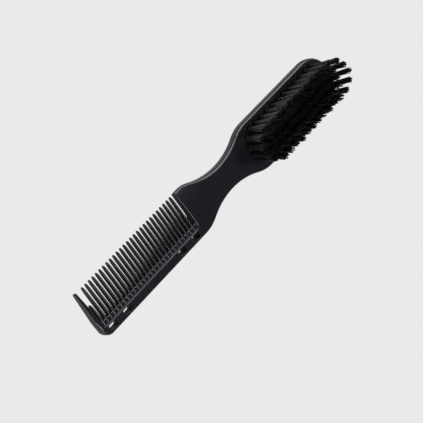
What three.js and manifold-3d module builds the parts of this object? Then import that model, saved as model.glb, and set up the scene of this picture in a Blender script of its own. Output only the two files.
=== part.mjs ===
// Fade brush for a barber's bench: one moulding that is a comb at one end, a waisted grip in the
// middle and a brush head at the other end, with nylon tufts stapled into blind holes in the head.
//
// Millimetres. +X runs from the comb end to the head end, +Y towards the tooth tips and +Z out of
// the bristle face. The origin is the centre of the outline, on the flat back of the moulding.

import * as THREE from 'three';
import { mergeVertices } from 'three/addons/utils/BufferGeometryUtils.js';
import { ConvexGeometry } from 'three/addons/geometries/ConvexGeometry.js';
import Module from 'manifold-3d';

const wasm = await Module();
wasm.setup();

// ---- driving dimensions ----

const LENGTH = 187.6;
const END_X = LENGTH / 2;
const FACE_Z = 6.4; // the bristle face; the back of the grip and head is at 0
const TOP_FILLET = 1.3; // edge round of the bristle face
const BACK_FILLET = 2.4; // edge round of the back, so that the grip feels like a D in the hand

const HEAD_HALF_WIDTH = 12.6;
const SHOULDER_HALF_WIDTH = 12.45; // where the grip meets the comb
const WAIST_HALF_WIDTH = 6.72;
const WAIST_X = 5.65;
const WAIST_RADIUS = 40;
const SHOULDER_RADIUS = 22;

const COMB_THICKNESS = 4.66;
const COMB_END_X = -END_X;
const GRIP_START_X = -22.2; // face of the grip that looks at the last tooth
const BACK_LEVEL_X = -10; // the back is flat from here on and rises slowly towards the comb end
const WEDGE_END_X = -2; // the grip beside the teeth thickens to its own section up to here
const SHOULDER_DROP = 1.5; // how much lower the face is at the corner of the grip beside the teeth
const SHOULDER_BACK_Z = 2.3; // and how high its back is there
const BACK_WEDGE_END_X = -11; // the back has come down again to its own level here
const SPINE_BACK_Y = -12.45;
const SPINE_STEP_Y = -7.75; // step down from the spine to the recessed root of the teeth
const CORNER_RADIUS = 4.45;
const WEB_THICKNESS = 3.2;

const TOOTH_COUNT = 27;
const TOOTH_PITCH = 2.42;
const FIRST_TOOTH_X = -87.6;
const TOOTH_ROOT_Y = -5.1;
const TOOTH_TIP_Y = 12.55;
const TOOTH_ROOT_WIDTH = 1.15;
const GAP_RADIUS = (TOOTH_PITCH - TOOTH_ROOT_WIDTH) / 2; // round end of a gap between two teeth
const WEB_END_Y = TOOTH_ROOT_Y + GAP_RADIUS; // the web's straight edge, before the gaps are cut
const TOOTH_TIP_WIDTH = 0.95;
const TOOTH_ROOT_THICKNESS = 3.5;
const TOOTH_TIP_THICKNESS = 2.4;
const STUB_X = -89.9; // the short tooth beside the guard tooth
const STUB_TIP_Y = 4.1;
const STUB_TIP_WIDTH = 0.95;

const GUARD_TIP = { x: -92.4, y: 12.05, radius: 0.75 };
const GUARD_ROOT_INNER_X = -90.85;
const GUARD_TIP_THICKNESS = 1.8;
const GUARD_BEVEL = 0.4;

const SLOT = { length: 5.6, width: 2.5, corner: 0.9, y: -9.82, xs: [-87.0, -77.1, -36.9, -26.75] };

const TUFT_FIELD_X = 57.55; // centre of the bristle field
const TUFTS_PER_ROW = 12;
const TUFT_PITCH = 4.69;
const ROW_PITCH = 4.2;
const END_ARC = [
  { dx: 29.9, y: 5.9 },
  { dx: 31.8, y: 2.05 },
]; // two tufts each side of the centre line close the field at either end
const TUFT_HOLE = { radius: 1.4, depth: 4.4, sides: 10 };
const BRISTLE_LENGTH = 14;
const TUFT_SIDES = 8;
const TUFT_STEM_RADIUS = 0.95;
const TUFT_TIP_RADIUS = 1.85;
const TUFT_STEM_DEPTH = 4.1;
const PAIR_LEAN = 0.65; // two neighbours inside the field lean together until their tips meet
const NEAR_SPLAY = { lean: -1.8, reach: 12 }; // tufts at the ends of the field lean outwards
const FAR_SPLAY = { lean: 2.4, reach: 8 };
const STAPLE = { length: 2.2, width: 1.4, thickness: 0.5 };

const COMB_MID_Z = FACE_Z - COMB_THICKNESS / 2;
const ARC_SEGMENTS = 5; // getPoints doubles this on an arc

// ---- solids ----

function solidOf(geometry) {
  const bare = geometry.clone();
  bare.deleteAttribute('normal');
  bare.deleteAttribute('uv');
  const merged = mergeVertices(bare, 1e-4);
  return new wasm.Manifold(
    new wasm.Mesh({
      numProp: 3,
      vertProperties: new Float32Array(merged.attributes.position.array),
      triVerts: new Uint32Array(merged.index.array),
    }),
  );
}

function geometryOf(solid) {
  const mesh = solid.getMesh();
  const geometry = new THREE.BufferGeometry();
  geometry.setAttribute('position', new THREE.BufferAttribute(mesh.vertProperties, 3));
  geometry.setIndex(new THREE.BufferAttribute(mesh.triVerts, 1));
  const flat = geometry.toNonIndexed();
  flat.computeVertexNormals();
  return flat;
}

// The outline as a polygon without the doubled points where one arc meets the next.
function polygonOf(shape, segments = ARC_SEGMENTS) {
  const points = shape.getPoints(segments);
  const distinct = points.filter((point, i) => {
    const before = points[(i + points.length - 1) % points.length];
    return point.distanceTo(before) > 1e-3;
  });
  return new THREE.Shape(distinct);
}

// A plan outline raised from one height to another, with both rims rounded inwards.
function slab(shape, lowZ, highZ, bevel = 0, bevelSegments = 3) {
  const geometry = new THREE.ExtrudeGeometry(polygonOf(shape), {
    depth: highZ - lowZ - 2 * bevel,
    bevelEnabled: bevel > 0,
    bevelThickness: bevel,
    bevelSize: bevel,
    bevelOffset: -bevel,
    bevelSegments,
  });
  geometry.translate(0, 0, lowZ + bevel);
  return solidOf(geometry);
}

// A side view in Y and Z, carried along X.
function barAlongX(points, startX, endX) {
  const shape = new THREE.Shape(points.map(([y, z]) => new THREE.Vector2(y, z)));
  const geometry = new THREE.ExtrudeGeometry(shape, { depth: endX - startX, bevelEnabled: false });
  const yAxis = new THREE.Vector3(0, 1, 0);
  const zAxis = new THREE.Vector3(0, 0, 1);
  const xAxis = new THREE.Vector3(1, 0, 0);
  geometry.applyMatrix4(new THREE.Matrix4().makeBasis(yAxis, zAxis, xAxis));
  geometry.translate(startX, 0, 0);
  return solidOf(geometry);
}

// A side view in X and Z, carried along Y over the full width.
function barAlongY(shape) {
  const halfWidth = HEAD_HALF_WIDTH + 2;
  const geometry = new THREE.ExtrudeGeometry(polygonOf(shape), {
    depth: 2 * halfWidth,
    bevelEnabled: false,
  });
  geometry.rotateX(Math.PI / 2);
  geometry.translate(0, halfWidth, 0);
  return solidOf(geometry);
}

// ---- grip and head ----

// Adds one S-shaped side: shoulder arc, waist arc and shoulder arc, each tangent to the next.
// side is -1 for the spine side, drawn from comb to head, and 1 for the other side, drawn back.
function addWaist(shape, side) {
  const reach = WAIST_RADIUS + SHOULDER_RADIUS;
  const turn = (halfWidth) => Math.acos(1 - (halfWidth - WAIST_HALF_WIDTH) / reach);
  const combTurn = turn(SHOULDER_HALF_WIDTH);
  const headTurn = turn(HEAD_HALF_WIDTH);
  const combX = WAIST_X - reach * Math.sin(combTurn);
  const headX = WAIST_X + reach * Math.sin(headTurn);
  const combY = side * (SHOULDER_HALF_WIDTH - SHOULDER_RADIUS);
  const headY = side * (HEAD_HALF_WIDTH - SHOULDER_RADIUS);
  const waistY = side * (WAIST_HALF_WIDTH + WAIST_RADIUS);
  const out = (side * Math.PI) / 2; // the outward direction of this side
  if (side < 0) {
    shape.absarc(combX, combY, SHOULDER_RADIUS, out, out + combTurn, false);
    shape.absarc(WAIST_X, waistY, WAIST_RADIUS, -out + combTurn, -out - headTurn, true);
    shape.absarc(headX, headY, SHOULDER_RADIUS, out - headTurn, out, false);
  } else {
    shape.absarc(headX, headY, SHOULDER_RADIUS, out, out + headTurn, false);
    shape.absarc(WAIST_X, waistY, WAIST_RADIUS, -out + headTurn, -out - combTurn, true);
    shape.absarc(combX, combY, SHOULDER_RADIUS, out - combTurn, out, false);
  }
}

function handleOutline(startX) {
  const shape = new THREE.Shape();
  const endCentreX = END_X - HEAD_HALF_WIDTH;
  shape.moveTo(startX, SHOULDER_HALF_WIDTH);
  shape.lineTo(startX, -SHOULDER_HALF_WIDTH);
  addWaist(shape, -1);
  shape.absarc(endCentreX, 0, HEAD_HALF_WIDTH, -Math.PI / 2, 0, false);
  shape.absarc(endCentreX, 0, HEAD_HALF_WIDTH, 0, Math.PI / 2, false);
  addWaist(shape, 1);
  return shape;
}

// Height of the back at x: it falls in a straight line from the comb end to the level part.
function backAt(x) {
  const share = Math.max(0, (BACK_LEVEL_X - x) / (BACK_LEVEL_X - COMB_END_X));
  return (FACE_Z - COMB_THICKNESS) * share;
}

// Side view above the back of the comb and grip.
function backProfile() {
  const shape = new THREE.Shape();
  shape.moveTo(COMB_END_X - 1, backAt(COMB_END_X - 1));
  shape.lineTo(BACK_LEVEL_X, 0);
  shape.lineTo(END_X + 1, 0);
  shape.lineTo(END_X + 1, FACE_Z + 1);
  shape.lineTo(COMB_END_X - 1, FACE_Z + 1);
  return shape;
}

// The corner of the grip beside the teeth is a wedge: its face falls away to the tooth side.
function shoulderFaceCut() {
  const startX = GRIP_START_X - 1;
  const outerY = SHOULDER_HALF_WIDTH + 1;
  const above = FACE_Z + 2;
  const rim = [
    [startX, -3, FACE_Z],
    [startX, outerY, FACE_Z - SHOULDER_DROP],
    [WEDGE_END_X, outerY, FACE_Z],
  ];
  const lid = rim.map(([x, y]) => [x, y, above]);
  return solidOf(new ConvexGeometry([...rim, ...lid].map((point) => new THREE.Vector3(...point))));
}

// And its back rises to the tooth side, in line with the backs of the teeth.
function shoulderBackCut() {
  const startX = GRIP_START_X - 1;
  const outerY = SHOULDER_HALF_WIDTH + 1;
  const below = -2;
  const roof = [
    [startX, SPINE_STEP_Y, 0.2],
    [startX, 0, 0.9 * SHOULDER_BACK_Z],
    [startX, 2, SHOULDER_BACK_Z],
    [startX, outerY, SHOULDER_BACK_Z],
    [BACK_WEDGE_END_X, SPINE_STEP_Y, 0],
    [BACK_WEDGE_END_X, outerY, 0],
  ];
  const floor = roof.map(([x, y]) => [x, y, below]);
  return solidOf(new ConvexGeometry([...roof, ...floor].map((point) => new THREE.Vector3(...point))));
}

function gripAndHead() {
  const faceOutline = handleOutline(GRIP_START_X);
  const backOutline = handleOutline(GRIP_START_X - 2 * BACK_FILLET); // its end round is cut away
  const faceSide = slab(faceOutline, -BACK_FILLET, FACE_Z, TOP_FILLET);
  const backSide = slab(backOutline, 0, FACE_Z + 2 * BACK_FILLET, BACK_FILLET, 4);
  const handle = faceSide.intersect(backSide).intersect(barAlongY(backProfile()));
  return handle.subtract(shoulderFaceCut()).subtract(shoulderBackCut());
}

// ---- comb ----

function spine() {
  const shape = new THREE.Shape();
  const insideGripX = GRIP_START_X + 4;
  shape.moveTo(insideGripX, SPINE_BACK_Y);
  shape.lineTo(insideGripX, SPINE_STEP_Y);
  shape.lineTo(GUARD_ROOT_INNER_X, SPINE_STEP_Y);
  shape.lineTo(GUARD_ROOT_INNER_X, TOOTH_ROOT_Y);
  shape.lineTo(COMB_END_X, TOOTH_ROOT_Y);
  const cornerX = COMB_END_X + CORNER_RADIUS;
  const cornerY = SPINE_BACK_Y + CORNER_RADIUS;
  shape.absarc(cornerX, cornerY, CORNER_RADIUS, Math.PI, 1.5 * Math.PI, false);
  const faceSide = slab(shape, -1, FACE_Z, TOP_FILLET);
  const backSlope = backAt(COMB_END_X) / (COMB_END_X - BACK_LEVEL_X);
  const tilt = new THREE.Matrix4().makeShear(0, backSlope, 0, 0, 0, 0);
  const lift = new THREE.Matrix4().makeTranslation(0, 0, -backSlope * BACK_LEVEL_X);
  const backSide = slab(shape, 0, FACE_Z + 3, TOP_FILLET).transform(lift.multiply(tilt).elements);
  return faceSide.intersect(backSide);
}

// Centre, tip and width of every tooth in the recessed row: the short one first.
function toothList() {
  const long = Array.from({ length: TOOTH_COUNT }, (_, i) => ({
    x: FIRST_TOOTH_X + i * TOOTH_PITCH,
    tipY: TOOTH_TIP_Y,
    tipWidth: TOOTH_TIP_WIDTH,
  }));
  return [{ x: STUB_X, tipY: STUB_TIP_Y, tipWidth: STUB_TIP_WIDTH }, ...long];
}

// Plan view of the teeth and the recessed web that carries them.
function teethOutline() {
  const shape = new THREE.Shape();
  const webY = SPINE_STEP_Y - 1.5;
  const half = TOOTH_ROOT_WIDTH / 2;
  const insideGripX = GRIP_START_X + 1;
  const insideGuardX = GUARD_ROOT_INNER_X - 0.8;
  shape.moveTo(insideGripX, webY);
  shape.lineTo(insideGuardX, webY);
  shape.lineTo(insideGuardX, WEB_END_Y);
  for (const tooth of toothList()) {
    const tipRadius = tooth.tipWidth / 2;
    shape.lineTo(tooth.x - half, WEB_END_Y);
    shape.absarc(tooth.x, tooth.tipY - tipRadius, tipRadius, Math.PI, 0, true);
    shape.lineTo(tooth.x + half, WEB_END_Y);
  }
  shape.lineTo(insideGripX, WEB_END_Y);
  return shape;
}

// Side view of a tooth row from its middle plane outwards: half thicknesses at places along Y.
function taperProfile(places) {
  const upper = places.map(([y, half]) => [y, COMB_MID_Z + half]);
  const lower = places.map(([y, half]) => [y, COMB_MID_Z - half]);
  return [...lower, ...upper.reverse()];
}

function teeth() {
  const plan = slab(polygonOf(teethOutline(), 2), FACE_Z - COMB_THICKNESS, FACE_Z);
  const profile = taperProfile([
    [SPINE_BACK_Y - 1, WEB_THICKNESS / 2],
    [TOOTH_ROOT_Y - 0.2, WEB_THICKNESS / 2],
    [TOOTH_ROOT_Y + 0.6, TOOTH_ROOT_THICKNESS / 2],
    [TOOTH_TIP_Y + 0.1, TOOTH_TIP_THICKNESS / 2],
  ]);
  return plan.intersect(barAlongX(profile, COMB_END_X, GRIP_START_X + 2));
}

// The rounded ends of the gaps between the teeth.
function gapRoots() {
  const gaps = toothList().map((tooth) => tooth.x);
  return gaps.slice(1).map((x) => {
    const cutter = new THREE.CylinderGeometry(GAP_RADIUS, GAP_RADIUS, COMB_THICKNESS + 2, 8);
    cutter.rotateX(Math.PI / 2);
    cutter.translate(x + TOOTH_PITCH / 2, WEB_END_Y, COMB_MID_Z);
    return solidOf(cutter);
  });
}

function guardTooth() {
  const { x, y, radius } = GUARD_TIP;
  const shape = new THREE.Shape();
  const baseY = SPINE_STEP_Y - 0.5;
  shape.moveTo(COMB_END_X, baseY);
  shape.lineTo(GUARD_ROOT_INNER_X + 0.6, baseY);
  shape.quadraticCurveTo(GUARD_ROOT_INNER_X, SPINE_STEP_Y + 1, GUARD_ROOT_INNER_X, TOOTH_ROOT_Y);
  shape.absarc(x, y, radius, 0, Math.PI, false);
  const plan = slab(shape, FACE_Z - COMB_THICKNESS, FACE_Z, GUARD_BEVEL, 1);
  const profile = taperProfile([
    [SPINE_BACK_Y - 1, COMB_THICKNESS / 2],
    [SPINE_STEP_Y, COMB_THICKNESS / 2],
    [TOOTH_TIP_Y + 0.3, GUARD_TIP_THICKNESS / 2],
  ]);
  return plan.intersect(barAlongX(profile, COMB_END_X - 1, GRIP_START_X));
}

function spineSlots() {
  const { length, width, corner, y, xs } = SLOT;
  const halfLength = length / 2;
  const halfWidth = width / 2;
  return xs.map((x) => {
    const shape = new THREE.Shape();
    const right = x + halfLength - corner;
    const left = x - halfLength + corner;
    const top = y + halfWidth - corner;
    const bottom = y - halfWidth + corner;
    shape.absarc(right, bottom, corner, -Math.PI / 2, 0, false);
    shape.absarc(right, top, corner, 0, Math.PI / 2, false);
    shape.absarc(left, top, corner, Math.PI / 2, Math.PI, false);
    shape.absarc(left, bottom, corner, Math.PI, 1.5 * Math.PI, false);
    return slab(polygonOf(shape, 1), -1, FACE_Z + 1);
  });
}

// ---- tufts ----

// How far the tips of a tuft at x lean along X: outwards at the two ends of the field.
function splayAt(x) {
  const nearEnd = TUFT_FIELD_X - END_ARC[1].dx;
  const farEnd = TUFT_FIELD_X + END_ARC[1].dx;
  const near = Math.max(0, 1 - (x - nearEnd) / NEAR_SPLAY.reach);
  const far = Math.max(0, 1 - (farEnd - x) / FAR_SPLAY.reach);
  return NEAR_SPLAY.lean * near + FAR_SPLAY.lean * far;
}

// Every tuft as a base point and a lean, grouped into the nodes that carry one or two of them.
function tuftNodes() {
  const rowX = (k) => TUFT_FIELD_X + (k - (TUFTS_PER_ROW - 1) / 2) * TUFT_PITCH;
  const label = (n) => String(n).padStart(2, '0');
  const nodes = [];
  for (const [side, y] of [['left', 2 * ROW_PITCH], ['right', -2 * ROW_PITCH]]) {
    for (let k = 0; k < TUFTS_PER_ROW; k += 1) {
      const x = rowX(k);
      nodes.push({ name: `tuft_${side}_${label(k + 1)}`, stems: [{ x, y, lean: splayAt(x) }] });
    }
  }
  for (const [end, direction] of [['near', -1], ['far', 1]]) {
    const places = END_ARC.flatMap(({ dx, y }) => [[dx, y], [dx, -y]]);
    places.sort((a, b) => b[1] - a[1]);
    places.forEach(([dx, y], i) => {
      const x = TUFT_FIELD_X + direction * dx;
      nodes.push({ name: `tuft_${end}_${i + 1}`, stems: [{ x, y, lean: splayAt(x) }] });
    });
  }
  for (const [row, y] of [['left', ROW_PITCH], ['middle', 0], ['right', -ROW_PITCH]]) {
    for (let k = 0; k < TUFTS_PER_ROW; k += 2) {
      const splay = splayAt((rowX(k) + rowX(k + 1)) / 2);
      const stems = [
        { x: rowX(k), y, lean: splay + PAIR_LEAN },
        { x: rowX(k + 1), y, lean: splay - PAIR_LEAN },
      ];
      nodes.push({ name: `tuft_pair_${row}_${k / 2 + 1}`, stems });
    }
  }
  return nodes;
}

// A bundle of bristles folded over its flat wire staple, standing at the origin on the face.
function tuft(lean) {
  const profile = [
    [0, -TUFT_STEM_DEPTH],
    [TUFT_STEM_RADIUS, -TUFT_STEM_DEPTH],
    [TUFT_STEM_RADIUS, 0.4],
    [TUFT_TIP_RADIUS, BRISTLE_LENGTH - 0.7],
    [TUFT_TIP_RADIUS - 0.5, BRISTLE_LENGTH],
    [0, BRISTLE_LENGTH],
  ];
  const bundle = new THREE.LatheGeometry(
    profile.map(([radius, z]) => new THREE.Vector2(radius, z)),
    TUFT_SIDES,
  );
  bundle.rotateX(Math.PI / 2);
  const position = bundle.attributes.position;
  for (let i = 0; i < position.count; i += 1) {
    const rise = Math.max(0, position.getZ(i)) / BRISTLE_LENGTH;
    position.setX(i, position.getX(i) + lean * rise);
  }
  const staple = new THREE.BoxGeometry(STAPLE.thickness, STAPLE.length, STAPLE.width);
  staple.translate(0, 0, -TUFT_STEM_DEPTH + STAPLE.width / 2 + 0.3);
  return solidOf(bundle).add(solidOf(staple));
}

function tuftHole({ x, y }) {
  const { radius, depth, sides } = TUFT_HOLE;
  const cutter = new THREE.CylinderGeometry(radius, radius, depth + 1, sides);
  cutter.rotateX(Math.PI / 2);
  cutter.translate(x, y, FACE_Z - depth + (depth + 1) / 2);
  return solidOf(cutter);
}

// ---- assembly ----

function blackPlastic() {
  return new THREE.MeshStandardMaterial({ color: 0x25242a, roughness: 0.5, metalness: 0 });
}

function blackNylon() {
  return new THREE.MeshStandardMaterial({ color: 0x0c0c0e, roughness: 0.45, metalness: 0 });
}

function moulding(stems) {
  let body = gripAndHead().add(spine()).add(teeth()).add(guardTooth());
  for (const cutter of [...gapRoots(), ...spineSlots(), ...stems.map(tuftHole)]) {
    body = body.subtract(cutter);
  }
  const mesh = new THREE.Mesh(geometryOf(body), blackPlastic());
  mesh.name = 'comb_grip_and_head';
  return mesh;
}

function tuftMesh({ name, stems }) {
  const origin = stems[0];
  let solid = tuft(origin.lean);
  for (const stem of stems.slice(1)) {
    solid = solid.add(tuft(stem.lean).translate([stem.x - origin.x, stem.y - origin.y, 0]));
  }
  const mesh = new THREE.Mesh(geometryOf(solid), blackNylon());
  mesh.name = name;
  mesh.position.set(origin.x, origin.y, FACE_Z);
  return mesh;
}

const brush = new THREE.Group();
const nodes = tuftNodes();
brush.add(moulding(nodes.flatMap((node) => node.stems)));
for (const node of nodes) {
  brush.add(tuftMesh(node));
}

export default brush;
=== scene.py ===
"""The looks of the fade brush: a finely rounded moulding and tufts made of separate bristles.

Shapes are worked out in millimetres in the frame of the CAD model: +X runs from the comb end to
the head end, +Y towards the tooth tips and +Z out of the bristle face. They become metres when
a mesh is made.
"""

import math

import bpy
import numpy as np
from mathutils import Matrix, Vector


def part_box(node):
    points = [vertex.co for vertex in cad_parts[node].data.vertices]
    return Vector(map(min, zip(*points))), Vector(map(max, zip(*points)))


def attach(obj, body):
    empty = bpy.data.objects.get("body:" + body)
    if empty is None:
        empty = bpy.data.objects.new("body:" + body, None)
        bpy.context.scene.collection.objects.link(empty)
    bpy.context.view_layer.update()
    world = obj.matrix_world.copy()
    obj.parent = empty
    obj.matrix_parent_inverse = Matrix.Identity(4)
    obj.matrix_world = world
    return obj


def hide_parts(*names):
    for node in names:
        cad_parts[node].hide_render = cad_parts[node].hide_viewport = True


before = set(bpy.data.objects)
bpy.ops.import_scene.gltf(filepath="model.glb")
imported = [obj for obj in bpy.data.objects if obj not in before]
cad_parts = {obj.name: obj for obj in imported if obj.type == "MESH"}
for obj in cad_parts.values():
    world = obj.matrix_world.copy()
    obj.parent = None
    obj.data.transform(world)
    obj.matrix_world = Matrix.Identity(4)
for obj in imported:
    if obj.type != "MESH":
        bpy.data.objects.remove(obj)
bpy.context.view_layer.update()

MM = 0.001

# ---- dimensions of the moulding ----

body_low, body_high = (np.array(corner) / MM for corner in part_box("comb_grip_and_head"))
END_X = float(body_high[0])
FACE_Z = float(body_high[2])
HEAD_HALF_WIDTH = float(body_high[1])
TOP_FILLET = 1.45
SPINE_TOP_FILLET = 0.9  # on the side of the spine the top edge is rounded less
BACK_FILLET = 3.3
BACK_FILLET_X = 24.0  # from here to the head end the back edge is rounded that much

SHOULDER_HALF_WIDTH = 12.45
WAIST_HALF_WIDTH = 6.72
WAIST_X = 5.65
WAIST_RADIUS = 40.0
SHOULDER_RADIUS = 22.0

COMB_THICKNESS = 4.66
COMB_MID_Z = FACE_Z - COMB_THICKNESS / 2
GRIP_START_X = -22.2
GRIP_CROWN = 0.25  # how much lower the face of the grip is at its edges than in the middle
CROWN_START_XS = (GRIP_START_X, 0.0)  # the crown grows between these
CROWN_END_XS = (12.0, 26.0)  # towards the head it fades out between these
BACK_LEVEL_X = -10.0  # from here on the back is flat; towards the comb end it rises slowly
WEDGE_XS = (GRIP_START_X - 1, -2.0)  # the comb's wedge section changes to the grip's between these
SPINE_STEP_Y = -7.75
CORNER_RADIUS = 4.45
POCKET_RADIUS = 1.9
PLAN_FILLET = 0.6  # rounds the corner between the spine's step and the outline
STEP_FILLET = 0.5  # rounds the upper and lower edge of the step
SHOULDER_FILLET = 0.25  # the edge of the face beside the teeth is sharper
SHOULDER_BACK_Z = 2.3  # height of the underside of the grip beside the teeth
BACK_WEDGE_XS = (GRIP_START_X - 1, -11.0)  # between these it comes down to the level of the back
SHOULDER_DROP = 0.4  # how much lower the face is at the shoulder's corner
SHOULDER_DROP_START_Y = -3.0  # the face starts to go down here
SHOULDER_ROLL = 1.1  # the face also rolls off by this much towards the shoulder's edge
ROLL_REACH = 2.8  # away from the edge the roll is e times less for each of these
ROLL_YS = (0.0, 7.0)  # the roll grows between these
SHOULDER_EDGE_YS = (0.0, 8.0)  # the edge of the face sharpens to SHOULDER_FILLET between these
UNDERSIDE_YS = (SPINE_STEP_Y, 1.5)  # the underside rises to SHOULDER_BACK_Z between these
SPINE_SIDE_YS = (-2.0, -5.0)  # the top edge changes to SPINE_TOP_FILLET between these
TOP_ROUND_LIMIT = 0.5  # no edge is rounded more than these shares of the thickness
BACK_ROUND_LIMIT = 0.55

TOOTH_COUNT = 27
TOOTH_PITCH = 2.42
FIRST_TOOTH_X = -87.6
TOOTH_ROOT_Y = -5.1
TOOTH_TIP_Y = 12.55
TOOTH_ROOT_WIDTH = 1.15
TOOTH_TIP_WIDTH = 0.95
TOOTH_ROOT_THICKNESS = 3.5
TOOTH_TIP_THICKNESS = 2.4
TOOTH_SQUARENESS = 3.5  # exponent of the section: 2 is an oval, more is squarer
TOOTH_TIP_ROUND = 5.5
STUB_X = -89.9
STUB_TIP_Y = 4.1
STUB_TIP_WIDTH = 0.95
COMB_INNER_XS = (1 - END_X, GRIP_START_X + 1)  # the web and the row of teeth stay between these
WEB_THICKNESS = 3.2
WEB_FILLET = 0.65
WEB_ROOT_DEPTH = 0.5  # how far the web reaches into the spine
RIB_END_Y = -7.3  # the teeth run on across the web as low ribs, up to here
WEB_CORNER_FILL = 0.2  # fills the corners between the teeth and the web
SPINE_CORNER_FILL = 0.25  # fills the corners where teeth and web meet the spine

GUARD_TIP = (-92.4, 12.05)
GUARD_TIP_RADIUS = 0.75
GUARD_ROOT_INNER_X = -90.85
GUARD_ROOT_FLARE = 1.3
GUARD_ROOT_DEPTH = 2.0  # how far the guard tooth reaches into the spine
GUARD_RIM = 0.4  # its edges are rounded this much
GUARD_RIM_YS = (SPINE_STEP_Y, TOOTH_ROOT_Y + 3)  # the rim goes from TOP_FILLET to that here
GUARD_TIP_THICKNESS = 1.8

SLOT_LENGTH = 5.6
SLOT_WIDTH = 2.5
SLOT_CORNER = 0.9
SLOT_DRAFT = 0.01  # a slot narrows by this much on each side for each mm below the face
SLOT_Y = -9.82
SLOT_XS = (-87.0, -77.1, -36.9, -26.75)

HOLE_RADIUS = 1.25
HOLE_DEPTH = 4.4
HOLE_EDGE = 0.15
HOLE_REACH = HOLE_RADIUS + 0.6  # further from its axis a hole makes no difference

# ---- meshing of the moulding: (position, step) of its grid lines along each axis ----

GRID_MARGIN = 0.5
GRID_X = (
    (-END_X - GRID_MARGIN, 0.17),
    (GRIP_START_X + 1.2, 0.6),
    (END_X + GRID_MARGIN, 0.6),
)
GRID_Y = (
    (-HEAD_HALF_WIDTH - GRID_MARGIN, 0.25),
    (SPINE_STEP_Y - 0.6, 0.16),
    (TOOTH_ROOT_Y + 0.3, 0.37),
    (HEAD_HALF_WIDTH + GRID_MARGIN, 0.37),
)
GRID_Z = ((-GRID_MARGIN, 0.34), (5.3, 0.2), (FACE_Z + 0.2, 0.2))
SHADING_STEP = 0.06  # the slopes that shade the surface are measured over this distance
MAX_MOVE = 0.2  # the vertices are moved onto the surface by no more than this in one round
LEAST_STEEPNESS = 0.2  # the square of the field's slope is taken as no less than this

# ---- dimensions of the tufts ----

STEM_SLICE = 0.1  # height of the slice at the bottom of a CAD stem that tells where it stands
BRISTLE_LENGTH = 14.0
BRISTLE_RADIUS = 0.14
BRISTLE_ROOT_DEPTH = 3.0
BRISTLE_SIDES = 4
BRISTLE_RINGS = (0, 0.2, 0.45, 0.72, 1.0)  # shares of the length at which the rings lie
BRISTLES_PER_TUFT = 90
BUNDLE_RADIUS = 1.0
RIM_CROWDING = 0.42  # 0.5 spaces the bristles evenly over a tuft, less puts more at its rim
GOLDEN_ANGLE = math.pi * (3 - math.sqrt(5))
TIP_SPREAD = 2.55
SIDE_TIP_SPREAD = 1.7  # a tuft spreads less across the brush than along it
FAR_TIP_SPREAD = 1.5  # the last tufts at the far end spread least, both ways
FAR_END_LENGTH = 8.0  # length of the field over which the spread comes down to that
NEAR_SPLAY = (-1.8, 12.0)  # lean of the tips at the end of the field, and how far in it reaches
FAR_SPLAY = (2.6, 8.0)
SIDE_LEAN = -0.8  # use has bent all tips a little to one side
BOW = -0.12  # half way up a bristle is off its straight line by this share of its lean
CLUMPS_PER_TUFT = 12
CLUMPING = 0.45  # how far the tips are drawn together into clumps
RIM_TRIM = 0.3  # bristles at the rim are this much shorter
LONGEST_BRISTLE = BRISTLE_LENGTH + 0.3

# what differs from bristle to bristle: standard deviations, then lowest and highest values
TUFT_LEAN_VARIES = 0.2
TUFT_HEIGHT_VARIES = 0.1
CLUMP_PLACE_VARIES = 0.08
CLUMP_HEIGHT_VARIES = 0.15
BRISTLE_HEIGHT_VARIES = 0.2
BOW_VARIES = 0.1
TIP_VARIES = 0.06
TURN_JITTER = (-0.15, 0.15)
SPREAD_SHARES = (0.85, 1.03)
RADIUS_SHARES = (0.9, 1.1)
SEED = 7

# ---- tones, depths and roughness of the materials ----

REFRACTION = 1.5
NOISE_RANGE = (0.3, 0.7)  # nearly all of a noise lies between these

PLASTIC_DARK = (0.0010, 0.0007, 0.0015, 1)
PLASTIC_LIGHT = (0.0020, 0.0015, 0.0027, 1)
PLASTIC_GRAIN = (0.004, 0.0035, 0.005, 1)
PLASTIC_WORN = (0.04, 0.039, 0.043, 1)
PLASTIC_ROUGHNESS = (0.30, 0.24)  # the second is where it has been scuffed most
CLOUD_ROUGHNESS = (-0.02, 0.03)  # what the clouds add to it
GRAIN_SPECKS = (0.45, 0.75)  # specks show where the grain is above the first of these
GRAIN_SHARES = (0, 0.35)
WORN_EDGES = (0.52, 0.60)  # how sharp an edge is where it begins to be worn and is fully worn
WORN_SCUFFS = (0.35, 0.65)  # an edge is worn less where the scuffs are low
WORN_SHARES = (0.2, 1)
WORN_MOST = 0.5
WAVE_DEPTH = 0.0004
GRAIN_DEPTH = 0.00004
SCUFF_DEPTH = 0.00005

NYLON_DUST = (0.008, 0.008, 0.009, 1)
DUST_SPOTS = (0.6, 0.8)
DUST_SHARES = (0, 0.25)
DRAWING_DEPTH = 0.00003
ROUGHNESS_VARIES = 0.07
SIDES_TONE = 0.003
SIDES_SPECULAR = 0.9
SIDES_ROUGHNESS = 0.18
# the cut ends get a darker, duller copy of the nylon than the sides: painted shade that keeps the
# tips of the field dark
CUT_SHADED_TONE = 0.0008
CUT_SPECULAR = 0.1
CUT_ROUGHNESS = 0.5

# ---- studio, in metres, watts and degrees ----

CAMERA_AZIMUTH = 237.774
CAMERA_ELEVATION = 53.68
CAMERA_ROLL = 81.366
CAMERA_DISTANCE = 0.6653
CAMERA_TARGET = (-0.01203, -0.00657, 0.0064)
CAMERA_LENS = 121.7  # millimetres, as is the sensor
CAMERA_SENSOR = 36

FLOOR_Z = -0.0005
FLOOR_HALF = 3.0
PAPER_TONE = 0.823  # what the camera sees of the paper and of the background
PAPER_MATT = 0.32  # how much of the light on the paper goes back to the object
PAPER_GLOW = 0.25  # how much the paper shines by itself onto the object
CONTACT_REACH = 0.012  # it shines less where something is as near as this

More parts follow.
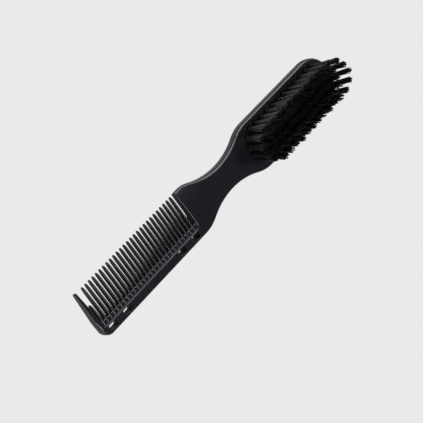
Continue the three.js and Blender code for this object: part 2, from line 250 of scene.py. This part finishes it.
ROOM_TINT = (1.0, 0.93, 1.16, 1)
ROOM_LIGHT = 0.2  # strength where the room is darkest
SIDE_ROOM_LIGHT = 0.6
DARK_BAND_Y = -0.32  # the room is darkest where the Y of the direction is this
DARK_BAND_REACH = 1.1  # and has reached SIDE_ROOM_LIGHT when Y differs by this

# name, centre, the point it faces, length and width, power
SOFTBOXES = (
    ("top_light", (-0.55, -0.3, 0.8), (0.0, 0.0, 0.0), (0.7, 0.7), 8.0),
    ("side_light", (0.5, 0.78, 0.72), (0.03, 0.0, 0.0), (1.3, 0.65), 14.5),
)


# ---- distance fields ----


def both(a, b, radius):
    """Distance to where both shapes are, with the edge between them rounded."""
    a = a + radius
    b = b + radius
    outside = np.hypot(np.maximum(a, 0), np.maximum(b, 0))
    return outside + np.minimum(np.maximum(a, b), 0) - radius


def either(a, b, radius):
    """Distance to where one shape or the other is, with the corner between them filled."""
    return -both(-a, -b, radius)


def mix(low, high, share):
    """low where share is 0, high where it is 1."""
    return low + (high - low) * share


def ramp(value, start, end):
    """0 up to start, 1 from end on, and a smooth step between."""
    share = np.clip((value - start) / (end - start), 0, 1)
    return share * share * (3 - 2 * share)


def outline(x, y):
    """Distance in plan to the outline of the grip and head, the same on both sides of y = 0."""
    side = np.abs(y)
    # On each side of the waist a hollow arc meets a shoulder arc, which runs out into a straight.
    reach = WAIST_RADIUS + SHOULDER_RADIUS
    waist_y = WAIST_HALF_WIDTH + WAIST_RADIUS
    distance = None
    for half_width, way in ((SHOULDER_HALF_WIDTH, -1), (HEAD_HALF_WIDTH, 1)):
        turn = math.acos(1 - (half_width - WAIST_HALF_WIDTH) / reach)
        arc_x = WAIST_X + way * reach * math.sin(turn)
        arc_y = half_width - SHOULDER_RADIUS
        straight = side - half_width
        shoulder = np.hypot(x - arc_x, side - arc_y) - SHOULDER_RADIUS
        waist = WAIST_RADIUS - np.hypot(x - WAIST_X, side - waist_y)
        meeting_x = arc_x - way * (side - arc_y) * math.tan(turn)
        half = np.where(way * (x - meeting_x) > 0, shoulder, waist)
        half = np.where(way * (x - arc_x) > 0, straight, half)
        distance = half if distance is None else np.where(x > WAIST_X, half, distance)
    end_x = END_X - HEAD_HALF_WIDTH
    round_end = np.hypot(x - end_x, side) - HEAD_HALF_WIDTH
    return np.where(x > end_x, round_end, distance)


def to_tips(y):
    """0 at the spine's step and 1 at the tips: the comb is a wedge between them."""
    return np.clip((y - SPINE_STEP_Y) / (GUARD_TIP[1] - SPINE_STEP_Y), 0, 1)


def wedge_half_thickness(y):
    """Half the thickness of the comb's wedge, measured from its middle plane."""
    return mix(COMB_THICKNESS, GUARD_TIP_THICKNESS, to_tips(y)) / 2


def handle_and_spine(x, y, z):
    """The grip, the head and the comb's spine: one plan, minus the corner that the teeth fill."""
    outer = both(outline(x, y), -END_X - x, CORNER_RADIUS)
    inner = either(y - SPINE_STEP_Y, GRIP_START_X - x, POCKET_RADIUS)
    plan = both(outer, inner, PLAN_FILLET)
    at_comb = 1 - ramp(x, *WEDGE_XS)
    to_corner = (y - SHOULDER_DROP_START_Y) / (SHOULDER_HALF_WIDTH - SHOULDER_DROP_START_Y)
    to_corner = np.clip(to_corner, 0, 1)
    crown = ramp(x, *CROWN_START_XS) - ramp(x, *CROWN_END_XS)
    crown = GRIP_CROWN * crown * (y / WAIST_HALF_WIDTH) ** 2
    roll = SHOULDER_ROLL * ramp(y, *ROLL_YS) * np.exp(np.minimum(outer, 0) / ROLL_REACH)
    top_z = FACE_Z - at_comb * (SHOULDER_DROP * to_corner**1.5 + roll)
    top_z = top_z - np.minimum(crown, GRIP_CROWN)
    to_comb_end = np.clip((BACK_LEVEL_X - x) / (BACK_LEVEL_X + END_X), 0, 1)
    back_z = (FACE_Z - COMB_THICKNESS) * to_comb_end
    back_wedge = 1 - ramp(x, *BACK_WEDGE_XS)
    back_z = mix(back_z, SHOULDER_BACK_Z, back_wedge * ramp(y, *UNDERSIDE_YS))
    top = z - top_z
    bottom = back_z - z
    top_round = mix(TOP_FILLET, SHOULDER_FILLET, at_comb * ramp(y, *SHOULDER_EDGE_YS))
    top_round = mix(top_round, SPINE_TOP_FILLET, ramp(y, *SPINE_SIDE_YS))
    top_round = np.minimum(top_round, TOP_ROUND_LIMIT * (top_z - back_z))
    back_round = mix(TOP_FILLET, BACK_FILLET, ramp(x, GRIP_START_X, BACK_FILLET_X))
    back_round = np.minimum(back_round, BACK_ROUND_LIMIT * (top_z - back_z))
    solid = np.maximum(both(outer, top, top_round), both(outer, bottom, back_round))
    solid = np.maximum(solid, both(plan, top, STEP_FILLET))
    return np.maximum(solid, both(plan, bottom, STEP_FILLET))


def guard_tooth(x, y, z):
    """The thick tooth at the free end, flaring into the spine at its root."""
    tip_x, tip_y = GUARD_TIP
    rise = np.clip((y - TOOTH_ROOT_Y) / (tip_y - TOOTH_ROOT_Y), 0, 1)
    outer_x = mix(-END_X, tip_x - GUARD_TIP_RADIUS, rise)
    flare = 1 - np.clip((y - SPINE_STEP_Y) / GUARD_ROOT_FLARE, 0, 1)
    inner_x = mix(GUARD_ROOT_INNER_X, tip_x + GUARD_TIP_RADIUS, rise)
    inner_x = inner_x + GUARD_ROOT_FLARE * (1 - np.sqrt(1 - flare * flare))
    half_width = (inner_x - outer_x) / 2
    centre = (inner_x + outer_x) / 2
    plan = np.hypot(x - centre, np.maximum(y - tip_y, 0)) - half_width
    corner = both(-SHOULDER_HALF_WIDTH - y, -END_X - x, CORNER_RADIUS)
    plan = np.maximum(plan, np.maximum(corner, SPINE_STEP_Y - GUARD_ROOT_DEPTH - y))
    rim = mix(TOP_FILLET, GUARD_RIM, ramp(y, *GUARD_RIM_YS))
    return both(plan, np.abs(z - COMB_MID_Z) - wedge_half_thickness(y), rim)


def tooth(dx, y, z, tip_y, tip_width):
    """A tooth with an oval section, tapering in width and thickness to a rounded tip."""
    to_tip = np.clip((y - TOOTH_ROOT_Y) / (tip_y - TOOTH_ROOT_Y), 0, 1)
    to_row = np.clip((y - TOOTH_ROOT_Y) / (TOOTH_TIP_Y - TOOTH_ROOT_Y), 0, 1)
    width = mix(TOOTH_ROOT_WIDTH, tip_width, to_tip) / 2
    thickness = mix(TOOTH_ROOT_THICKNESS, TOOTH_TIP_THICKNESS, to_row) / 2
    over = np.maximum(y - (tip_y - TOOTH_TIP_ROUND), 0) / TOOTH_TIP_ROUND
    dz = np.abs(z - COMB_MID_Z) / thickness
    dx = np.abs(dx) / width
    power = TOOTH_SQUARENESS
    total = np.maximum(dx**power + dz**power + over**power, 1e-6)
    spread = total ** (1 / power)
    parts = ((dx, width), (dz, thickness), (over, TOOTH_TIP_ROUND))
    slope = np.sqrt(sum((share ** (power - 1) / size) ** 2 for share, size in parts))
    slope = slope * total ** (1 / power - 1)
    # In the middle of a tooth the slope is nearly 0, and any value well inside will do.
    distance = (spread - 1) / np.maximum(slope, 1e-4)
    distance = np.where(slope < 1e-3, -width, distance)
    return np.maximum(distance, RIB_END_Y - y)


def teeth_and_web(x, y, z):
    """The row of teeth, the short tooth and the recessed web, with a round end to every gap."""
    number = np.clip(np.round((x - FIRST_TOOTH_X) / TOOTH_PITCH), 0, TOOTH_COUNT - 1)
    dx = x - (FIRST_TOOTH_X + number * TOOTH_PITCH)
    row = tooth(dx, y, z, TOOTH_TIP_Y, TOOTH_TIP_WIDTH)
    row = np.minimum(row, tooth(x - STUB_X, y, z, STUB_TIP_Y, STUB_TIP_WIDTH))
    gap = np.round((x - FIRST_TOOTH_X) / TOOTH_PITCH - 0.5)
    gap = np.clip(gap, -1, TOOTH_COUNT - 1)
    gap_x = FIRST_TOOTH_X + (gap + 0.5) * TOOTH_PITCH
    gap_radius = (TOOTH_PITCH - TOOTH_ROOT_WIDTH) / 2
    scoop_y = TOOTH_ROOT_Y + gap_radius
    scoop = gap_radius - np.hypot(x - gap_x, y - scoop_y)
    plan = np.maximum(y - scoop_y, scoop)
    web = both(plan, np.abs(z - COMB_MID_Z) - WEB_THICKNESS / 2, WEB_FILLET)
    web = np.maximum(web, SPINE_STEP_Y - WEB_ROOT_DEPTH - y)
    low_x, high_x = COMB_INNER_XS
    return np.maximum(either(row, web, WEB_CORNER_FILL), np.maximum(low_x - x, x - high_x))


def slots(x, y, z):
    """The four slots through the spine, endless along Z."""
    distance = None
    draft = SLOT_DRAFT * (FACE_Z - z)
    across = np.abs(y - SLOT_Y) - SLOT_WIDTH / 2 + draft
    for slot_x in SLOT_XS:
        lengthwise = np.abs(x - slot_x) - SLOT_LENGTH / 2 + draft
        slot = both(lengthwise, across, SLOT_CORNER)
        distance = slot if distance is None else np.minimum(distance, slot)
    return distance


def moulding(points, holes):
    """Distance from each point to the surface of the moulding, below 0 inside it."""
    x, y, z = points[..., 0], points[..., 1], points[..., 2]
    solid = np.minimum(handle_and_spine(x, y, z), guard_tooth(x, y, z))
    solid = np.maximum(solid, -slots(x, y, z))
    solid = either(solid, teeth_and_web(x, y, z), SPINE_CORNER_FILL)
    for hole_x, hole_y in holes:
        near = (np.abs(x - hole_x) < HOLE_REACH) & (np.abs(y - hole_y) < HOLE_REACH)
        bore = np.hypot(x[near] - hole_x, y[near] - hole_y) - HOLE_RADIUS
        bore = np.maximum(bore, FACE_Z - HOLE_DEPTH - z[near])
        solid[near] = both(solid[near], -bore, HOLE_EDGE)
    return solid


# ---- meshing ----


def along(*stops):
    """Grid lines from the first stop to the last. A stop is (position, step from there on)."""
    lines = []
    for (start, step), (end, _) in zip(stops, stops[1:]):
        count = max(1, round((end - start) / step))
        lines.extend(np.linspace(start, end, count, endpoint=False))
    lines.append(stops[-1][0])
    return np.array(lines)


def surface_net(lines, values):
    """Vertices and quads of the zero surface of values, given at the crossings of grid lines."""
    shape = np.array(values.shape)
    cells = shape - 1
    total = np.zeros((*cells, 3))
    count = np.zeros(cells)
    inside = values < 0
    edges = []
    # Each grid edge that the surface crosses adds its crossing to the four cells around it, and
    # gives one quad between the vertices of those cells.
    for axis in range(3):
        low = [slice(None)] * 3
        high = [slice(None)] * 3
        low[axis] = slice(0, -1)
        high[axis] = slice(1, None)
        crossed = np.argwhere(inside[tuple(low)] != inside[tuple(high)])
        after = crossed.copy()
        after[:, axis] += 1
        before_value = values[tuple(crossed.T)]
        after_value = values[tuple(after.T)]
        share = before_value / (before_value - after_value)
        place = np.stack([lines[k][crossed[:, k]] for k in range(3)], 1)
        place[:, axis] = mix(place[:, axis], lines[axis][after[:, axis]], share)
        b, c = (axis + 1) % 3, (axis + 2) % 3
        kept = (crossed[:, b] > 0) & (crossed[:, c] > 0)
        kept &= (crossed[:, b] < cells[b]) & (crossed[:, c] < cells[c])
        crossed, place = crossed[kept], place[kept]
        corners = []
        for step_b, step_c in ((1, 1), (0, 1), (0, 0), (1, 0)):
            cell = crossed.copy()
            cell[:, b] -= step_b
            cell[:, c] -= step_c
            np.add.at(total, tuple(cell.T), place)
            np.add.at(count, tuple(cell.T), 1)
            corners.append(cell)
        edges.append((corners, inside[tuple(crossed.T)]))
    # The vertex of a cell is the mean of the crossings on its edges.
    used = count > 0
    number = np.full(cells, -1)
    number[used] = np.arange(used.sum())
    vertices = total[used] / count[used][:, None]
    quads = []
    for corners, outward in edges:
        quad = np.stack([number[tuple(cell.T)] for cell in corners], 1)
        quads.append(np.where(outward[:, None], quad, quad[:, ::-1]))
    return vertices, np.concatenate(quads)


def slope_of(field, points, step=0.01):
    """How the field changes along X, Y and Z at each point."""
    slope = np.zeros_like(points)
    for axis in range(3):
        shift = np.zeros(3)
        shift[axis] = step
        slope[:, axis] = (field(points + shift) - field(points - shift)) / (2 * step)
    return slope


def settle(field, points, rounds=2):
    """Moves points onto the zero surface, at most MAX_MOVE in each round."""
    for _ in range(rounds):
        slope = slope_of(field, points)
        steep = np.maximum((slope**2).sum(1), LEAST_STEEPNESS)
        move = np.clip(field(points) / steep, -MAX_MOVE, MAX_MOVE)
        points = points - move[:, None] * slope
    return points


def mesh_object(name, vertices, faces, smooth, materials):
    """A piece of the object from vertices in millimetres."""
    mesh = bpy.data.meshes.new(name)
    mesh.from_pydata((np.asarray(vertices) * MM).tolist(), [], np.asarray(faces).tolist())
    mesh.polygons.foreach_set("use_smooth", smooth)
    for material in materials:
        mesh.materials.append(material)
    mesh.update()
    obj = bpy.data.objects.new(name, mesh)
    bpy.context.scene.collection.objects.link(obj)
    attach(obj, "root")
    return obj


def build_moulding(holes, material):
    """The whole moulding as one closed surface, shaded by the slope of its distance field."""

    def field(points):
        return moulding(points, holes)

    lines = [along(*GRID_X), along(*GRID_Y), along(*GRID_Z)]
    grid = np.stack(np.meshgrid(*lines, indexing="ij"), -1)
    vertices, quads = surface_net(lines, field(grid))
    vertices = settle(field, vertices)
    smooth = np.ones(len(quads), bool)
    body = mesh_object("moulded_body", vertices, quads, smooth, [material])
    normals = slope_of(field, vertices, SHADING_STEP)
    normals = normals / np.maximum(np.linalg.norm(normals, axis=1), 1e-6)[:, None]
    body.data.normals_split_custom_set_from_vertices(normals.tolist())
    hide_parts("comb_grip_and_head")


# ---- tufts ----


def stems_of(node):
    """Where the tufts of a CAD node stand on the face, found from the bottoms of their stems."""
    points = np.array([v.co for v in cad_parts[node].data.vertices]) / MM
    bottom = points[points[:, 2] < points[:, 2].min() + STEM_SLICE]
    middle = (bottom[:, 0].min() + bottom[:, 0].max()) / 2
    if np.ptp(bottom[:, 0]) < 3 * BUNDLE_RADIUS:
        groups = [bottom]
    else:
        groups = [bottom[bottom[:, 0] < middle], bottom[bottom[:, 0] > middle]]
    return [(group.min(0)[:2] + group.max(0)[:2]) / 2 for group in groups]


def splay_at(x, field_low, field_high):
    """How far the tips of a tuft at x lean along X: outwards at the two ends of the field."""
    near_lean, near_reach = NEAR_SPLAY
    far_lean, far_reach = FAR_SPLAY
    near = max(0.0, 1 - (x - field_low) / near_reach)
    far = max(0.0, 1 - (field_high - x) / far_reach)
    return near_lean * near + far_lean * far


def bristles(bases, tips, bows, radii, phases):
    """Vertices and quads of thin bowed rods from bases to tips. Each cap has a ring of its own."""
    sides = BRISTLE_SIDES
    shares = np.array(BRISTLE_RINGS)[None, :, None]
    centres = mix(bases[:, None], tips[:, None], shares)
    centres = centres + bows[:, None] * 4 * shares * (1 - shares)
    turns = phases[:, None] + np.arange(sides) * 2 * math.pi / sides
    circle = np.stack([np.cos(turns), np.sin(turns), 0 * turns], -1)
    rings = centres[:, :, None] + radii[:, None, None, None] * circle[:, None]
    count, steps = rings.shape[:2]
    quads = []
    for step in range(steps - 1):
        for side in range(sides):
            after = (side + 1) % sides
            low, high = step * sides, (step + 1) * sides
            quads.append((low + side, low + after, high + after, high + side))
    rings = np.concatenate([rings, rings[:, -1:]], 1)
    quads.append(tuple(steps * sides + side for side in range(sides)))
    offsets = np.arange(count)[:, None, None] * (steps + 1) * sides
    return rings.reshape(-1, 3), (np.array(quads)[None] + offsets).reshape(-1, 4)


def on_disc(turns, shares):
    """Places on a disc of radius 1, flat in the plane of the face."""
    circle = np.stack([np.cos(turns), np.sin(turns), 0 * turns], 1)
    return circle * shares[:, None]


def build_tuft(name, node, place, lean, tip_spread, materials, chance):
    """One tuft: bristles that stand close together in the hole and fan out to their cut tips."""
    count = BRISTLES_PER_TUFT
    share = ((np.arange(count) + 0.5) / count) ** RIM_CROWDING
    turn = chance.uniform(0, 2 * math.pi) + np.arange(count) * GOLDEN_ANGLE
    turn = turn + chance.uniform(*TURN_JITTER, count)
    foot = np.array([place[0], place[1], FACE_Z - BRISTLE_ROOT_DEPTH])
    bases = foot + on_disc(turn, share * (BUNDLE_RADIUS - BRISTLE_RADIUS))
    tuft_lean = np.array([lean, SIDE_LEAN, 0]) + [*chance.normal(0, TUFT_LEAN_VARIES, 2), 0]
    spread = on_disc(turn, share * chance.uniform(*SPREAD_SHARES, count))

    clump_share = np.sqrt((np.arange(CLUMPS_PER_TUFT) + 0.5) / CLUMPS_PER_TUFT)
    clump_turn = chance.uniform(0, 2 * math.pi) + np.arange(CLUMPS_PER_TUFT) * GOLDEN_ANGLE
    clumps = on_disc(clump_turn, clump_share)
    clumps[:, :2] += chance.normal(0, CLUMP_PLACE_VARIES, (CLUMPS_PER_TUFT, 2))
    nearest = ((spread[:, None] - clumps[None]) ** 2).sum(2).argmin(1)
    spread = mix(spread, clumps[nearest], CLUMPING)

    tips = foot + tuft_lean + spread * [*tip_spread, 0]
    tips[:, :2] += chance.normal(0, TIP_VARIES, (count, 2))
    height = BRISTLE_LENGTH + chance.normal(0, TUFT_HEIGHT_VARIES)
    height = height + chance.normal(0, BRISTLE_HEIGHT_VARIES, count)
    height = height + chance.normal(0, CLUMP_HEIGHT_VARIES, CLUMPS_PER_TUFT)[nearest]
    tips[:, 2] = FACE_Z + np.minimum(height - RIM_TRIM * share**2, LONGEST_BRISTLE)

    sideways = np.array([1, 1, 0])
    bows = BOW * (tips - bases) * sideways
    bows = bows + BOW_VARIES * chance.normal(0, 1, (count, 3)) * sideways
    radii = BRISTLE_RADIUS * chance.uniform(*RADIUS_SHARES, count)
    phases = chance.uniform(0, math.pi, count)
    vertices, quads = bristles(bases, tips, bows, radii, phases)

    faces_each = len(quads) // count
    is_tip = np.arange(len(quads)) % faces_each == faces_each - 1
    tuft = mesh_object(name, vertices, quads, ~is_tip, materials)
    # the caps take the second material, the darker copy of the nylon, which paints shade on the
    # tips
    tuft.data.polygons.foreach_set("material_index", is_tip.astype(np.int32))
    strand = np.repeat(chance.uniform(0, 1, count), len(vertices) // count)
    tuft.data.attributes.new("strand", "FLOAT", "POINT").data.foreach_set("value", strand)
    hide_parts(node)


def build_tufts(stems, materials):
    """Every tuft where the CAD has one. A CAD node that stands for a pair gives tufts a and b."""
    chance = np.random.default_rng(SEED)
    xs = [place[0] for places in stems.values() for place in places]
    for node, places in sorted(stems.items()):
        for number, place in enumerate(places):
            part = "ab"[number] if len(places) > 1 else ""
            name = node.replace("tuft_", "bristles_") + part
            lean = splay_at(place[0], min(xs), max(xs))
            at_far_end = ramp(place[0], max(xs) - FAR_END_LENGTH, max(xs))
            spreads = (TIP_SPREAD, SIDE_TIP_SPREAD)
            tip_spread = [mix(spread, FAR_TIP_SPREAD, at_far_end) for spread in spreads]
            build_tuft(name, node, place, lean, tip_spread, materials, chance)


# ---- materials ----


class Nodes:
    """A short way to write a node tree: each call makes a node and links its inputs."""

    def __init__(self, material):
        material.use_nodes = True
        self.tree = material.node_tree
        self.tree.nodes.clear()

    def add(self, kind, inputs=None, **settings):
        """A node of this kind. Its inputs are given by name, as a value or as a socket to link."""
        node = self.tree.nodes.new(kind)
        for name, value in settings.items():
            setattr(node, name, value)
        for name, value in (inputs or {}).items():
            if isinstance(value, bpy.types.NodeSocket):
                self.tree.links.new(value, node.inputs[name])
            else:
                node.inputs[name].default_value = value
        return node

    def millimetres(self, squeeze=(1, 1, 1)):
        """Places on the object in millimetres. A pattern is squeezed this much along each axis."""
        place = self.add("ShaderNodeTexCoord").outputs["Object"]
        scale = tuple(share / MM for share in squeeze)
        return self.add("ShaderNodeMapping", {"Vector": place, "Scale": scale}).outputs["Vector"]

    def noise(self, vector, scale, detail=2.0, rough=0.5):
        """Noise around 0.5. The vector is in millimetres, so scale is in spots per millimetre."""
        inputs = {"Vector": vector, "Scale": scale, "Detail": detail, "Roughness": rough}
        return self.add("ShaderNodeTexNoise", inputs).outputs["Fac"]

    def between(self, value, given, wanted):
        """The value, moved from the given range to the wanted one."""
        inputs = {
            "Value": value,
            "From Min": given[0],
            "From Max": given[1],
            "To Min": wanted[0],
            "To Max": wanted[1],
        }
        return self.add("ShaderNodeMapRange", inputs).outputs["Result"]

    def blend(self, share, first, second):
        """The first colour where share is 0 and the second where it is 1."""
        node = self.add("ShaderNodeMix", data_type="RGBA")
        for socket, value in ((0, share), (6, first), (7, second)):
            if isinstance(value, bpy.types.NodeSocket):
                self.tree.links.new(value, node.inputs[socket])
            else:
                node.inputs[socket].default_value = value
        return node.outputs[2]

    def maths(self, operation, *values):
        """One sum with one or two values."""
        node = self.add("ShaderNodeMath", operation=operation)
        for socket, value in enumerate(values):
            if isinstance(value, bpy.types.NodeSocket):
                self.tree.links.new(value, node.inputs[socket])
            else:
                node.inputs[socket].default_value = value
        return node.outputs[0]

    def bump(self, height, strength, distance, normal=None):
        """A normal tilted by a height that is distance metres at most, on top of another normal."""
        inputs = {"Height": height, "Strength": strength, "Distance": distance}
        if normal is not None:
            inputs["Normal"] = normal
        return self.add("ShaderNodeBump", inputs).outputs["Normal"]

    def output(self, shader):
        """The end of the tree."""
        self.add("ShaderNodeOutputMaterial", {"Surface": shader})


def black_plastic():
    """Satin black plastic: mould grain, faint waves and clouds, handling scuffs and worn edges."""
    material = bpy.data.materials.new("moulded_plastic")
    n = Nodes(material)
    place = n.millimetres()
    clouds = n.noise(place, scale=0.07, detail=3)
    waves = n.noise(place, scale=0.13, detail=2)
    grain = n.noise(place, scale=5.5, detail=3, rough=0.6)
    lengthwise = n.millimetres(squeeze=(0.12, 1.6, 1.6))
    scuffs = n.noise(lengthwise, scale=1.4, detail=4, rough=0.65)

    edges = n.add("ShaderNodeNewGeometry").outputs["Pointiness"]
    worn = n.between(edges, WORN_EDGES, (0, 1))
    worn = n.maths("MULTIPLY", worn, n.between(scuffs, WORN_SCUFFS, WORN_SHARES))
    cloudy = n.between(clouds, NOISE_RANGE, (0, 1))
    colour = n.blend(cloudy, PLASTIC_DARK, PLASTIC_LIGHT)
    colour = n.blend(n.between(grain, GRAIN_SPECKS, GRAIN_SHARES), colour, PLASTIC_GRAIN)
    colour = n.blend(n.maths("MULTIPLY", worn, WORN_MOST), colour, PLASTIC_WORN)

    roughness = n.between(scuffs, NOISE_RANGE, PLASTIC_ROUGHNESS)
    roughness = n.maths("ADD", roughness, n.between(clouds, NOISE_RANGE, CLOUD_ROUGHNESS))
    bump = n.bump(waves, strength=1.0, distance=WAVE_DEPTH)
    bump = n.bump(grain, strength=0.35, distance=GRAIN_DEPTH, normal=bump)
    bump = n.bump(scuffs, strength=0.12, distance=SCUFF_DEPTH, normal=bump)
    inputs = {"Base Color": colour, "Roughness": roughness, "Normal": bump, "IOR": REFRACTION}
    shader = n.add("ShaderNodeBsdfPrincipled", inputs)
    n.output(shader.outputs["BSDF"])
    return material


def black_nylon(name, tone, specular_level, least_roughness):
    """Black nylon: each strand a shade of its own, with a shine along it as strong as asked for."""
    material = bpy.data.materials.new(name)
    n = Nodes(material)
    strand = n.add("ShaderNodeAttribute", attribute_name="strand").outputs["Fac"]
    drawn = n.noise(n.millimetres(squeeze=(4, 4, 0.5)), scale=1.2, detail=2)
    dust = n.noise(n.millimetres(), scale=1.1, detail=2)
    darkest = (tone, tone, 1.1 * tone, 1)
    lightest = (2 * tone, 1.9 * tone, 2.2 * tone, 1)
    colour = n.blend(strand, darkest, lightest)
    colour = n.blend(n.between(dust, DUST_SPOTS, DUST_SHARES), colour, NYLON_DUST)
    most_roughness = least_roughness + ROUGHNESS_VARIES
    roughness = n.between(drawn, NOISE_RANGE, (least_roughness, most_roughness))
    own_roughness = n.between(strand, (0, 1), (0, ROUGHNESS_VARIES))
    roughness = n.maths("ADD", roughness, own_roughness)
    bump = n.bump(drawn, strength=0.2, distance=DRAWING_DEPTH)
    inputs = {"Base Color": colour, "Roughness": roughness, "Normal": bump, "IOR": REFRACTION}
    shader = n.add("ShaderNodeBsdfPrincipled", inputs)
    shader.inputs["Specular IOR Level"].default_value = specular_level
    n.output(shader.outputs["BSDF"])
    return material


def pale_paper():
    """The floor: pale matt paper, lit through from behind so that shadows on it stay faint."""
    material = bpy.data.materials.new("pale_paper")
    n = Nodes(material)
    open_sky = n.add("ShaderNodeAmbientOcclusion", {"Distance": CONTACT_REACH}, samples=8)
    open_sky = open_sky.outputs["AO"]
    seen = n.add("ShaderNodeLightPath").outputs["Is Camera Ray"]
    unseen = n.maths("MULTIPLY", open_sky, PAPER_GLOW)
    glow_level = n.add("ShaderNodeMix", {"Factor": seen, "A": unseen, "B": PAPER_TONE})
    glow_level = glow_level.outputs["Result"]
    glow = n.add("ShaderNodeEmission", {"Strength": glow_level}).outputs[0]
    matt_level = n.maths("MULTIPLY", n.maths("SUBTRACT", 1.0, seen), PAPER_MATT)
    channels = {channel: matt_level for channel in ("Red", "Green", "Blue")}
    tone = n.add("ShaderNodeCombineColor", channels)
    matt = n.add("ShaderNodeBsdfDiffuse", {"Color": tone.outputs[0]}).outputs[0]
    shader = n.add("ShaderNodeAddShader")
    n.tree.links.new(matt, shader.inputs[0])
    n.tree.links.new(glow, shader.inputs[1])
    n.output(shader.outputs[0])
    return material


# ---- studio ----


def build_floor():
    """A square of paper under the object."""
    half = FLOOR_HALF
    mesh = bpy.data.meshes.new("floor")
    corners = [(-half, -half), (half, -half), (half, half), (-half, half)]
    mesh.from_pydata([(x, y, FLOOR_Z) for x, y in corners], [], [(0, 1, 2, 3)])
    mesh.materials.append(pale_paper())
    floor = bpy.data.objects.new("floor", mesh)
    bpy.context.scene.collection.objects.link(floor)


def build_softbox(name, centre, aim, size, power):
    """A white rectangular lamp that faces the point aim."""
    light = bpy.data.lights.new(name, "AREA")
    light.shape = "RECTANGLE"
    light.size, light.size_y = size
    light.energy = power
    lamp = bpy.data.objects.new(name, light)
    lamp.location = centre
    lamp.rotation_mode = "QUATERNION"
    lamp.rotation_quaternion = (Vector(aim) - Vector(centre)).to_track_quat("-Z", "Y")
    bpy.context.scene.collection.objects.link(lamp)


def build_world():
    """Pale where the camera sees it, dimmer as a light, so that the softboxes shape the object."""
    world = bpy.data.worlds.new("studio")
    bpy.context.scene.world = world
    n = Nodes(world)
    seen = n.add("ShaderNodeBackground", {"Color": (PAPER_TONE,) * 3 + (1,), "Strength": 1.0})
    direction = n.add("ShaderNodeTexCoord").outputs["Generated"]
    sideways = n.add("ShaderNodeSeparateXYZ", {"Vector": direction}).outputs["Y"]
    away = n.maths("ABSOLUTE", n.maths("SUBTRACT", sideways, DARK_BAND_Y))
    strength = n.between(away, (0, DARK_BAND_REACH), (ROOM_LIGHT, SIDE_ROOM_LIGHT))
    light = n.add("ShaderNodeBackground", {"Color": ROOM_TINT, "Strength": strength})
    mixer = n.add("ShaderNodeMixShader")
    camera_ray = n.add("ShaderNodeLightPath").outputs["Is Camera Ray"]
    n.tree.links.new(camera_ray, mixer.inputs[0])
    n.tree.links.new(light.outputs[0], mixer.inputs[1])
    n.tree.links.new(seen.outputs[0], mixer.inputs[2])
    n.add("ShaderNodeOutputWorld", {"Surface": mixer.outputs[0]})


def build_camera():
    """The camera, placed by its direction and distance from CAMERA_TARGET."""
    azimuth = math.radians(CAMERA_AZIMUTH)
    elevation = math.radians(CAMERA_ELEVATION)
    level = math.cos(elevation)
    back_x = math.sin(azimuth) * level
    back_y = -math.cos(azimuth) * level
    back = Vector((back_x, back_y, math.sin(elevation)))
    roll = Matrix.Rotation(math.radians(CAMERA_ROLL), 3, "Z").to_quaternion()
    data = bpy.data.cameras.new("camera")
    data.lens = CAMERA_LENS
    data.sensor_width = CAMERA_SENSOR
    data.clip_start = 0.01
    data.clip_end = 20
    camera = bpy.data.objects.new("camera", data)
    camera.rotation_mode = "QUATERNION"
    camera.rotation_quaternion = back.to_track_quat("Z", "Y") @ roll
    camera.location = Vector(CAMERA_TARGET) + back * CAMERA_DISTANCE
    bpy.context.scene.collection.objects.link(camera)
    bpy.context.scene.camera = camera


def main():
    """The studio, the moulding and the tufts."""
    build_camera()
    build_floor()
    build_world()
    for lamp in SOFTBOXES:
        build_softbox(*lamp)
    bpy.context.scene.view_settings.view_transform = "Standard"
    tuft_nodes = [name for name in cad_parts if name.startswith("tuft_")]
    stems = {node: stems_of(node) for node in tuft_nodes}
    holes = [tuple(place) for places in stems.values() for place in places]
    build_moulding(holes, black_plastic())
    sides = black_nylon("drawn_nylon", SIDES_TONE, SIDES_SPECULAR, SIDES_ROUGHNESS)
    # the cut ends are painted darker and duller than the sides, as shade on the tips of the field
    shaded_cut_ends = black_nylon("cut_nylon", CUT_SHADED_TONE, CUT_SPECULAR, CUT_ROUGHNESS)
    build_tufts(stems, [sides, shaded_cut_ends])


main()
